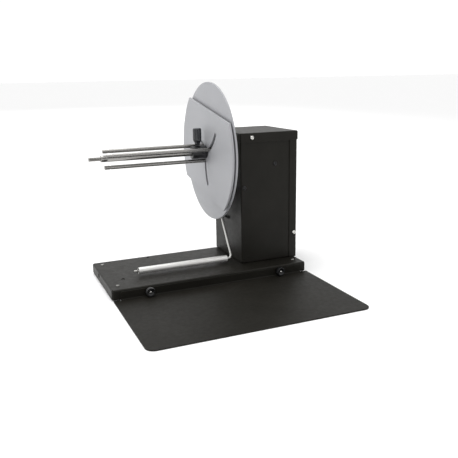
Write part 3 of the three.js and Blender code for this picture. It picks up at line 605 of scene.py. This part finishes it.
# ---------------------------------------------------------------- screws
def pan_screw(name, axis, place, out, r, height, shank, length, mat, node, steps=32, drive="cross"):
    """A pan-head screw: domed head standing `height` off the face at `place`, with a cut drive recess."""
    k = "xyz".index(axis)
    face = place[k]
    dome = [(0, face + out * height), (r * 0.45, face + out * height * 0.97),
            (r * 0.75, face + out * height * 0.82), (r * 0.94, face + out * height * 0.5),
            (r, face + out * height * 0.2), (r, face),
            (shank, face), (shank, face - out * (length - 0.0004)), (shank * 0.7, face - out * length),
            (0, face - out * length)]
    obj = turned(name, dome, axis, place, mat, max(32, steps * 2), None, 38)
    w, reach, deep = r * 0.17, r * 0.62, height * 0.75
    arms = ((reach, w), (w, reach)) if drive == "cross" else ((reach, reach * 0.9),)
    made = []
    for a, b in arms:
        piece = bmesh.new()
        if drive == "cross":
            bmesh.ops.create_cube(piece, size=1)
            for v in piece.verts:
                low = v.co.z < 0
                v.co = Vector((v.co.x * 2 * a * (0.55 if low and a > b else 1.0),
                               v.co.y * 2 * b * (0.55 if low and b > a else 1.0),
                               (-deep if low else height * 0.5)))
        else:
            bmesh.ops.create_cone(piece, cap_ends=True, segments=6, radius1=a * 0.95, radius2=a * 0.95,
                                  depth=1)
            for v in piece.verts:
                v.co.z = -deep if v.co.z < 0 else height * 0.5
        data = bpy.data.meshes.new("recess")
        piece.to_mesh(data)
        piece.free()
        made.append(data)
    up = Vector((0, 0, 1))
    aim = Vector([out if i == k else 0 for i in range(3)])
    spin = up.rotation_difference(aim).to_matrix().to_4x4()
    top = Vector(place)
    top[k] = face + out * height
    cutters = []
    for data in made:
        data.transform(Matrix.Translation(top) @ spin @ Matrix.Rotation(math.radians(24), 4, "Z"))
        tool = bpy.data.objects.new("recess", data)
        bpy.context.scene.collection.objects.link(tool)
        cutters.append(tool)
        mod = obj.modifiers.new("recess", "BOOLEAN")
        mod.operation = "DIFFERENCE"
        mod.solver = "EXACT"
        mod.object = tool
    apply_modifiers(obj)
    for tool in cutters:
        data = tool.data
        bpy.data.objects.remove(tool)
        bpy.data.meshes.remove(data)
    smooth(obj.data, 38)
    return stand_in(obj, node)


def build_screws():
    for name, mat, drive in (("lid_screw_front", "zinc", "cross"), ("lid_screw_rear", "zinc", "cross"),
                             ("panel_screw_front", "zinc", "cross"), ("panel_screw_rear", "zinc", "cross"),
                             ("bracket_screw_upper", "oxide", "hex"),
                             ("bracket_screw_lower", "oxide", "hex")):
        lo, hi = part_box(name)
        x, z = centre(name, (0, 2))
        r = (hi.x - lo.x) / 2
        out = 1 if name.endswith("rear") else -1
        outer = hi.y if out > 0 else lo.y
        face = outer - out * 0.002
        pan_screw(name.replace("screw", "fixing"), "y", (x, face, z), out, r, 0.002, 0.0015,
                  (hi.y - lo.y) - 0.002, M[mat], name, 24, drive)
    for name in ("sensor_screw_lower", "sensor_screw_upper"):
        lo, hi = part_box(name)
        y, z = centre(name, (1, 2))
        pan_screw(name.replace("screw", "fixing"), "x", (lo.x + 0.003, y, z), -1, (hi.y - lo.y) / 2, 0.003,
                  0.0015, hi.x - lo.x - 0.003, M["oxide"], name, 24, "hex")


# ---------------------------------------------------------------- tower
def build_tower():
    lo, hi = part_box("tower_shell")
    width, depth, height = hi.x - lo.x, hi.y - lo.y, hi.z - lo.z
    thick, radius = 0.0012, 0.0018
    arc, drop = radius * math.pi / 2, developed(0, radius)
    side, lip = developed(width, radius), developed(0.012, radius)
    foot = height - radius
    v0, v1 = radius, depth - radius
    a, b = v0 - arc, v1 + arc
    loop = [(0, v0 - side), (foot, v0 - side), (foot + lip, v0 - side), (foot + lip, a - lip), (foot, a),
            (foot, v0), (foot + lip, v0 + lip), (foot + lip, v1 - lip), (foot, v1), (foot, b),
            (foot + lip, b + lip), (foot + lip, v1 + side), (0, v1 + side)]

    def front(x):
        return v0 - (x - lo.x + drop)

    def rear(x):
        return v1 + (x - lo.x + drop)

    shaft = centre("main_shaft", (1, 2))
    pivot = centre("arm_bush", (1, 2))
    holes = [circle(hi.z - shaft[1], shaft[0] - lo.y, 0.008, 48),
             circle(hi.z - pivot[1], pivot[0] - lo.y, 0.0053, 40)]
    for name in ("sensor_screw_lower", "sensor_screw_upper"):
        y, z = centre(name, (1, 2))
        holes.append(circle(hi.z - z, y - lo.y, 0.0018, 20))
    for name in ("bracket_screw_upper", "bracket_screw_lower", "lid_screw_front", "panel_screw_front"):
        x, z = centre(name, (0, 2))
        holes.append(circle(hi.z - z, front(x), 0.0018, 20))
    for name in ("lid_screw_rear", "panel_screw_rear"):
        x, z = centre(name, (0, 2))
        holes.append(circle(hi.z - z, rear(x), 0.0018, 20))
    bm = flat_plate("shell", loop, holes, thick)
    fold(bm, 0, foot, 1, radius)
    fold(bm, 1, v0, -1, radius)
    fold(bm, 1, v1, 1, radius)
    matrix = frame_of((lo.x, lo.y, hi.z), (0, 0, -1), (0, 1, 0), (-1, 0, 0))
    stand_in(sheet_object("drive_tower_shell", bm, matrix, M["powder"]), "tower_shell")

    lo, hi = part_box("end_panel")
    height, depth, lap = hi.z - lo.z, hi.y - lo.y, hi.x - lo.x
    knob = centre("torque_knob", (1, 2))
    inlet = centre("power_inlet", (1, 2))
    sy, sz = centre("switch_body", (1, 2))
    holes = [circle(knob[1] - lo.z, knob[0] - lo.y, 0.0038, 32),
             circle(inlet[1] - lo.z, inlet[0] - lo.y, 0.0058, 40),
             rounded(sz - 0.0107 - lo.z, sz + 0.0107 - lo.z, sy - 0.0072 - lo.y, sy + 0.0072 - lo.y,
                     [0.001] * 4, 3)]
    for i in range(5):
        u = (118 + 7 * i) * MM - lo.z
        y0 = at(0, 70, 0).y - lo.y
        holes.append(rounded(u, u + 0.003, y0, y0 + 0.048, [0.00149] * 4, 6))
    for node, way in (("panel_screw_front", -1), ("panel_screw_rear", 1)):
        x, z = centre(node, (0, 2))
        run = hi.x - x + drop
        holes.append(circle(z - lo.z, radius - run if way < 0 else depth - radius + run, 0.0018, 20))
    loop = pan_pattern(height, depth, lap, thick, radius, ("y0", "y1"))
    loop = fillet(loop + [loop[0], loop[1]], 0.002, 4)[1:-1]
    bm = flat_plate("panel", loop, holes, thick)
    fold(bm, 1, radius, -1, radius)
    fold(bm, 1, depth - radius, 1, radius)
    matrix = frame_of((hi.x, lo.y, lo.z), (0, 0, 1), (0, 1, 0), (1, 0, 0))
    stand_in(sheet_object("control_end_panel", bm, matrix, M["powder"]), "end_panel")

    lo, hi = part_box("tower_lid")
    width, depth, skirt = hi.x - lo.x, hi.y - lo.y, hi.z - lo.z
    thick, radius = 0.001, 0.0016
    drop = developed(0, radius)
    holes = []
    for node, way in (("lid_screw_front", -1), ("lid_screw_rear", 1)):
        x, z = centre(node, (0, 2))
        run = hi.z - z + drop
        holes.append(circle(x - lo.x, radius - run if way < 0 else depth - radius + run, 0.0018, 20))
    loop = pan_pattern(width, depth, skirt, thick, radius, ("x0", "x1", "y0", "y1"))
    bm = flat_plate("lid", loop, holes, thick)
    fold(bm, 0, radius, -1, radius)
    fold(bm, 0, width - radius, 1, radius)
    fold(bm, 1, radius, -1, radius)
    fold(bm, 1, depth - radius, 1, radius)
    stand_in(sheet_object("tower_cap", bm, Matrix.Translation((lo.x, lo.y, hi.z)), M["powder"]), "tower_lid")


# ---------------------------------------------------------------- chuck
AXIS = centre("main_shaft", (1, 2))
START_R, TRAVEL, SLOT_HALF, SPIRAL = 0.0142, 0.036, 0.0033, math.radians(460)
FINGER_ANGLES = [math.radians(a) for a in (19.2, 139.2, -100.8)]


def polar(angle, r):
    return AXIS[0] - r * math.cos(angle), AXIS[1] + r * math.sin(angle)


def slot(angle, twist, steps=18, cap=8):
    """Outline of a finger slot: straight when twist is 0, else a slow spiral in radians per metre."""
    def point(r, side, extra=None):
        turn = twist * (r - START_R)
        lean = math.atan(twist * r) if twist else 0.0
        push = turn + lean + (side * math.pi / 2 if extra is None else extra)
        u = r * math.cos(turn) + SLOT_HALF * math.cos(push)
        v = r * math.sin(turn) + SLOT_HALF * math.sin(push)
        return polar(angle + math.atan2(v, u), math.hypot(u, v))

    radii = [START_R + TRAVEL * i / steps for i in range(steps + 1)]
    loop = [point(r, -1) for r in radii]
    loop += [point(radii[-1], 0, -math.pi / 2 + math.pi * k / cap) for k in range(1, cap)]
    loop += [point(r, 1) for r in reversed(radii)]
    loop += [point(radii[0], 0, math.pi / 2 + math.pi * k / cap) for k in range(1, cap)]
    return loop


def disc_object(name, outline, holes, x0, x1, edge):
    bm = flat_plate(name, outline, holes, x1 - x0, edge, 3)
    bmesh.ops.transform(bm, matrix=frame_of((x1, 0, 0), (0, 1, 0), (0, 0, 1), (1, 0, 0)), verts=bm.verts)
    return flat_faced(to_object(name, bm, M["disc"], 50), 50)


def build_plates():
    lo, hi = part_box("rear_plate")
    r = (hi.y - lo.y) / 2
    chord, tilt = 0.0675, math.radians(11)
    outline = circle(0, 0, r, 288)
    cut = []
    for u, v in outline:
        w = -u * math.sin(tilt) + v * math.cos(tilt)
        if abs(w) <= chord:
            cut.append((u, v))
        elif cut and cut[-1] is not None:
            cut.append(None)
    half = math.sqrt(r * r - chord * chord)
    full = []
    side = 0
    for item in cut:
        if item is not None:
            full.append((AXIS[0] + item[0], AXIS[1] + item[1]))
            continue
        order = (half, -half) if side == 0 else (-half, half)
        sign = 1 if side == 0 else -1
        side += 1
        for p in order:
            w = sign * chord
            full.append((AXIS[0] + p * math.cos(tilt) - w * math.sin(tilt),
                         AXIS[1] + p * math.sin(tilt) + w * math.cos(tilt)))
    flo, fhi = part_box("front_plate")
    bore = circle(AXIS[0], AXIS[1], 0.0053, 48)
    holes = [slot(a, SPIRAL) for a in FINGER_ANGLES] + [bore]
    stand_in(disc_object("cam_disc", full, holes, flo.x, fhi.x, 0.0004), "front_plate")

    round_outline = [(AXIS[0] + u, AXIS[1] + v) for u, v in outline]
    plate = disc_object("guide_disc", round_outline, [slot(a, 0.0) for a in FINGER_ANGLES] + [bore],
                        lo.x, lo.x + 0.003, 0.0004)
    boss = turned("boss", [(0.0053, lo.x + 0.0028), (0.0098, lo.x + 0.0028), (0.0104, lo.x + 0.0034),
                           (0.0104, hi.x - 0.0006), (0.0098, hi.x), (0.0058, hi.x), (0.0053, hi.x - 0.0005)],
                  "x", (0, *AXIS), M["disc"], 64)
    stand_in(join(plate, boss), "rear_plate")


def join(first, *others):
    """Joins the meshes of the others into the first."""
    bm = bmesh.new()
    for obj in (first, *others):
        bm.from_mesh(obj.data)
    bm.to_mesh(first.data)
    bm.free()
    for obj in others:
        data = obj.data
        bpy.data.objects.remove(obj)
        bpy.data.meshes.remove(data)
    smooth(first.data, 38)
    return first


def build_shaft():
    lo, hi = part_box("main_shaft")
    stud, pitch, run = 0.003, 0.001, 0.0175
    shoulder = lo.x + run
    line = [(0, lo.x), (stud - 0.0006, lo.x), (stud, lo.x + 0.0006)]
    steps = 130
    thread0, thread1 = lo.x + 0.0008, shoulder - 0.0012
    line += [(stud, thread0 + (thread1 - thread0) * i / steps) for i in range(steps + 1)]
    line += [(stud - 0.0005, shoulder - 0.0008), (stud - 0.0005, shoulder), (0.0043, shoulder),
             (0.0048, shoulder + 0.0003), (0.005, shoulder + 0.0009), (0.005, shoulder + 0.0088),
             (0.0046, shoulder + 0.0091), (0.0046, shoulder + 0.0099), (0.005, shoulder + 0.0102),
             (0.005, hi.x - 0.0006), (0.0044, hi.x), (0, hi.x)]

    def thread(r, h, t):
        if not thread0 <= h <= thread1 or abs(r - stud) > 1e-6:
            return r
        phase = (h / pitch + t / (2 * math.pi)) % 1.0
        ease = min(1.0, (h - thread0) / 0.0008, (thread1 - h) / 0.0008)
        return r - 0.00055 * ease * abs(2 * phase - 1)

    stand_in(turned("chuck_shaft", line, "x", (0, *AXIS), M["steel"], 72, thread, 55), "main_shaft")


def build_hub():
    lo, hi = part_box("hub_collar")
    r = (hi.z - lo.z) / 2
    line = [(0.0053, lo.x + 0.0004), (0.0058, lo.x), (r - 0.0013, lo.x), (r - 0.0008, lo.x + 0.0001),
            (r - 0.0002, lo.x + 0.0006), (r, lo.x + 0.0012), (r, hi.x - 0.0004), (r - 0.0004, hi.x),
            (0.0053, hi.x)]
    stand_in(turned("clamp_hub", line, "x", (0, *AXIS), M["oxide"], 96), "hub_collar")

    lo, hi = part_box("lock_knob")
    x, y = centre("lock_knob", (0, 1))
    z = AXIS[1]
    keys = [(2.0, 5.3), (2.0, 11.6), (3.4, 11.6), (3.75, 11.9), (3.9, 13.2), (4.4, 15.0), (5.5, 17.2),
            (6.2, 18.5), (6.5, 19.6), (6.65, 21.0), (6.65, 24), (6.65, 27), (6.65, 30), (6.65, 33),
            (6.65, 35.4), (6.5, 36.3), (6.1, 37.0), (5.4, 37.5), (4.0, 37.75), (2.0, 37.87)]
    line = [(0, z + 0.0053)] + [(r * MM, z + h * MM) for r, h in keys] + [(0, hi.z)]

    def flute(r, h, t):
        if r < 0.0045 or h < z + 0.015:
            return r
        ease = min(1.0, (h - z - 0.015) / 0.005, (r / 0.0066) ** 3)
        groove = max(0.0, math.cos(8 * t)) ** 1.6
        return r - 0.00085 * ease * groove

    stand_in(turned("clamp_knob", line, "z", (x, y, 0), M["knob"], 160, flute, 50), "lock_knob")


def build_fingers():
    for i in range(len(FINGER_ANGLES)):
        node = f"finger_{i + 1}"
        lo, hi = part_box(node)
        y, z = centre(node, (1, 2))
        neck, r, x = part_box("rear_plate")[0].x + 0.003, 0.003, lo.x
        line = [(0, x), (0.0020, x), (0.0026, x + 0.0002), (0.00295, x + 0.0007), (r, x + 0.0014),
                (r, x + 0.008), (0.0026, x + 0.0083), (0.0026, x + 0.0097), (r, x + 0.010),
                (r, neck - 0.0003), (0.0027, neck), (0.002, neck), (0.002, hi.x - 0.0003),
                (0.0017, hi.x), (0, hi.x)]
        stand_in(turned(f"core_pin_{i + 1}", line, "x", (0, y, z), M["steel"], 64), node)
        round_edges(frame["nodes"][f"finger_slider_{i + 1}"], 0.0005)


# ---------------------------------------------------------------- dancer arm
def tube_along(name, points, radius, mat, segments=12):
    """A round bar swept along a path of points."""
    curve = bpy.data.curves.new(name, "CURVE")
    curve.dimensions = "3D"
    curve.bevel_depth = radius
    curve.bevel_resolution = segments
    curve.use_fill_caps = True
    spline = curve.splines.new("POLY")
    spline.points.add(len(points) - 1)
    for point, co in zip(spline.points, points):
        point.co = (*co, 1)
    obj = bpy.data.objects.new(name, curve)
    bpy.context.scene.collection.objects.link(obj)
    deps = bpy.context.evaluated_depsgraph_get()
    mesh = bpy.data.meshes.new_from_object(obj.evaluated_get(deps))
    bpy.data.objects.remove(obj)
    bpy.data.curves.remove(curve)
    bm = bmesh.new()
    bm.from_mesh(mesh)
    bpy.data.meshes.remove(mesh)
    return to_object(name, bm, mat, 40)


def build_arm():
    lo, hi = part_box("arm_hub")
    pivot = Vector((0, *centre("arm_bush", (1, 2))))
    axle = Vector((0, *centre("tension_roller", (1, 2))))
    x = lo.x
    line = [(0, x + 0.0006), (0.0030, x + 0.0006), (0.0034, x), (0.0066, x), (0.0074, x + 0.0003),
            (0.0079, x + 0.0009), (0.008, x + 0.0014), (0.008, x + 0.0123), (0.0077, x + 0.0128),
            (0.0072, x + 0.0131), (0.0030, x + 0.0131), (0.0030, hi.x - 0.0004), (0.0026, hi.x), (0, hi.x)]
    stand_in(turned("arm_boss", line, "x", pivot, M["oxide"], 72), "arm_hub")

    aim = (axle - pivot).normalized()
    reach = (axle - pivot).length
    plane = at(49.5, 0, 0).x
    bend = 0.006
    start = pivot + aim * 0.0046
    knee = pivot + aim * (reach - bend)
    points = [Vector((plane, start.y, start.z)), Vector((plane, knee.y, knee.z))]
    hub = knee + Vector((-bend, 0, 0))
    for i in range(1, 16):
        t = math.pi / 2 * i / 15
        corner = Vector((plane - bend, hub.y, hub.z))
        points.append(corner + Vector((bend * math.cos(t), 0, 0)) + aim * bend * math.sin(t))
    rlo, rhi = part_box("tension_roller")
    points.append(Vector((rlo.x - 0.0004, axle.y, axle.z)))
    rod = tube_along("arm_bar", points, 0.002, M["bright"])
    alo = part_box("arm_rod")[0]
    tip = turned("arm_tip", [(0, alo.x), (0.0010, alo.x), (0.0014, alo.x + 0.0004), (0.0014, alo.x + 0.0044),
                             (0.0011, alo.x + 0.0046), (0.0011, alo.x + 0.0058), (0.0014, alo.x + 0.006),
                             (0.0014, rlo.x), (0, rlo.x)], "x", axle, M["bright"], 32)
    stand_in(join(rod, tip), "arm_rod")

    e = 0.0004
    line = [(0.0041, rlo.x + e), (0.0044, rlo.x), (0.0047, rlo.x), (0.005, rlo.x + e), (0.005, rhi.x - e),
            (0.0047, rhi.x), (0.0044, rhi.x), (0.0041, rhi.x - e)]
    stand_in(turned("dancer_roller", line, "x", axle, M["roller"], 72), "tension_roller")
    for name in ("roller_bush_outer", "roller_bush_inner"):
        blo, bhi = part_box(name)
        line = [(0.0022, blo.x + 0.0003), (0.0025, blo.x), (0.0038, blo.x), (0.004, blo.x + 0.0003),
                (0.004, bhi.x - 0.0003), (0.0038, bhi.x), (0.0025, bhi.x), (0.0022, bhi.x - 0.0003)]
        shown = name.replace("roller_bush", "roller_bearing")
        stand_in(turned(shown, line, "x", axle, M["plastic"], 48), name)
    clo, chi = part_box("roller_clip")
    arc = [math.radians(28 + 304 * i / 40) for i in range(41)]
    loop = [(axle.y + 0.0032 * math.cos(t), axle.z + 0.0032 * math.sin(t)) for t in arc]
    loop += [(axle.y + 0.0016 * math.cos(t), axle.z + 0.0016 * math.sin(t)) for t in reversed(arc)]
    bm = flat_plate("clip", loop, [], chi.x - clo.x, 0.00012)
    bmesh.ops.transform(bm, matrix=frame_of((chi.x, 0, 0), (0, 1, 0), (0, 0, 1), (1, 0, 0)), verts=bm.verts)
    stand_in(to_object("snap_ring", bm, M["steel"], 40), "roller_clip")


# ---------------------------------------------------------------- end panel controls
def build_controls():
    round_edges(frame["nodes"]["switch_body"], 0.0004, 3)
    round_edges(frame["nodes"]["switch_rocker"], 0.0005, 3)

    lo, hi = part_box("torque_knob")
    y, z = centre("torque_control", (1, 2))
    r, x0, x1 = (hi.z - lo.z) / 2, hi.x - 0.0121, hi.x - 0.0006
    line = [(0, lo.x), (0.0017, lo.x), (0.002, lo.x + 0.0003), (0.002, x0), (r - 0.0006, x0),
            (r - 0.0001, x0 + 0.0003)]
    line += [(r, x0 + 0.0006 + 0.002 * i) for i in range(5)]
    line += [(r - 0.0003, x1 - 0.0007), (r - 0.0008, x1 - 0.0002), (r - 0.0016, x1), (0.003, x1 - 0.0002),
             (0, x1 - 0.0003)]

    def grip(radius, h, t):
        if radius < r - 0.001 or h < x0:
            return radius
        return radius - 0.0005 * max(0.0, math.cos(18 * t)) ** 1.3

    knob = turned("torque_dial", line, "x", (0, y, z), M["plastic"], 216, grip, 45)
    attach(knob, WHERE["torque_knob"])
    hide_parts("torque_knob")
    pointer = rounded(y - 0.0006, y + 0.0006, z + 0.002, z + 0.0082, [0.0005] * 4, 4)
    bm = flat_plate("mark", pointer, [], 0.0008, 0.00015)
    bmesh.ops.transform(bm, matrix=frame_of((hi.x, 0, 0), (0, 1, 0), (0, 0, 1), (1, 0, 0)), verts=bm.verts)
    keep(to_object("torque_dial_pointer", bm, M["mark"], 40), WHERE["torque_knob"])

    lo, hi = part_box("power_inlet")
    y, z = centre("power_inlet", (1, 2))
    line = [(0, lo.x), (0.005, lo.x), (0.0055, lo.x + 0.0005), (0.0055, hi.x - 0.0025),
            (0.0071, hi.x - 0.0025), (0.0075, hi.x - 0.0021), (0.0075, hi.x - 0.0006), (0.0070, hi.x),
            (0.0036, hi.x), (0.003, hi.x - 0.0006),
            (0.003, lo.x + 0.0015), (0.001, lo.x + 0.0015), (0.001, hi.x - 0.0040), (0.0007, hi.x - 0.0035),
            (0, hi.x - 0.0035)]
    stand_in(turned("inlet_socket", line, "x", (0, y, z), M["plastic"], 64), "power_inlet")


# ---------------------------------------------------------------- inner pieces kept from the frame
def finish_inner():
    inner = {"tower_bolt_front": "zinc", "tower_bolt_rear": "zinc", "bearing_block": "cast",
             "bearing_front": "plain", "bearing_rear": "plain", "drive_belt": "rubber",
             "motor_bracket": "plain", "gearbox": "cast",
             "drive_motor": "plain", "control_board": "pcb", "arm_bush": "brass", "arm_sensor": "plastic",
             "arm_spring": "plain", "switch_body": "plastic", "switch_rocker": "plastic",
             "torque_control": "cast",
             "driven_pulley": "plastic", "motor_pulley": "plastic", "finger_slider_1": "oxide",
             "finger_slider_2": "oxide", "finger_slider_3": "oxide"}
    for node, mat in inner.items():
        obj = NODES[node]
        obj.data.materials[0] = M[mat]
        if not obj.modifiers and node not in ("arm_spring", "drive_belt"):
            round_edges(obj, 0.0003)


# ---------------------------------------------------------------- room, light and camera
CAMERA_PLACE = (-0.3193, -0.80685, 0.3070)
CAMERA_TURN = (22.87, 14.36, -1.05)
CAMERA_LENS = 47.09


def build_room():
    bm = bmesh.new()
    bmesh.ops.create_grid(bm, x_segments=2, y_segments=2, size=60)
    floor = to_object("studio_floor", bm, M["floor"])
    floor.location.z = -0.0002

    world = bpy.data.worlds.new("studio")
    bpy.context.scene.world = world
    world.use_nodes = True
    tree = world.node_tree
    sky = tree.nodes["Background"]
    sky.inputs["Color"].default_value = (1, 1, 1, 1)
    way = tree.nodes.new("ShaderNodeTexCoord")
    split = tree.nodes.new("ShaderNodeSeparateXYZ")
    tree.links.new(way.outputs["Generated"], split.inputs["Vector"])
    depth = spread(tree, split.outputs["Y"], 0.74, 1.06, -0.6, 0.35)
    height = spread(tree, split.outputs["Z"], 1.0, 1.1, 0.25, 0.95)
    both = tree.nodes.new("ShaderNodeMath")
    both.operation = "MULTIPLY"
    tree.links.new(depth, both.inputs[0])
    tree.links.new(height, both.inputs[1])
    tree.links.new(both.outputs["Value"], sky.inputs["Strength"])

    def soft_light(name, place, aim, size, power, spread_deg=180):
        data = bpy.data.lights.new(name, "AREA")
        data.shape = "RECTANGLE"
        data.size, data.size_y = size
        data.energy = power
        data.spread = math.radians(spread_deg)
        lamp = bpy.data.objects.new(name, data)
        lamp.location = place
        lamp.rotation_euler = (Vector(place) - Vector(aim)).to_track_quat("Z", "Y").to_euler()
        bpy.context.scene.collection.objects.link(lamp)

    soft_light("overhead", (-0.2, 0.35, 1.5), (0, 0, 0.05), (0.9, 0.7), 9)
    soft_light("left_bank", (-1.7, 0.5, 0.8), (0, 0, 0.1), (1.0, 1.0), 2.4)
    soft_light("backdrop_floor", (-0.8, 3.4, 1.6), (-0.8, 3.4, 0), (5.0, 3.0), 34, 90)
    soft_light("strip", (-0.1, -0.35, 1.2), (-0.05, 0.05, 0.15), (1.6, 0.10), 1.6)


def build_camera():
    yaw, pitch, roll = (math.radians(angle) for angle in CAMERA_TURN)
    forward = Vector((math.sin(yaw) * math.cos(pitch), math.cos(yaw) * math.cos(pitch), -math.sin(pitch)))
    right = Vector((math.cos(yaw), -math.sin(yaw), 0))
    up = right.cross(forward)
    side = right * math.cos(roll) + up * math.sin(roll)
    top = -right * math.sin(roll) + up * math.cos(roll)
    data = bpy.data.cameras.new("view")
    data.sensor_width = 36
    data.lens = CAMERA_LENS
    cam = bpy.data.objects.new("view", data)
    cam.matrix_world = frame_of(CAMERA_PLACE, side, top, -forward)
    bpy.context.scene.collection.objects.link(cam)
    bpy.context.scene.camera = cam
    bpy.context.scene.view_settings.view_transform = "Standard"


build_base()
build_feet()
build_tray()
build_thumbscrews()
build_screws()
build_tower()
build_plates()
build_shaft()
build_hub()
build_fingers()
build_arm()
build_controls()
finish_inner()
build_room()
build_camera()


def corners(box):
    return [[round(c, 6) for c in corner] for corner in box]
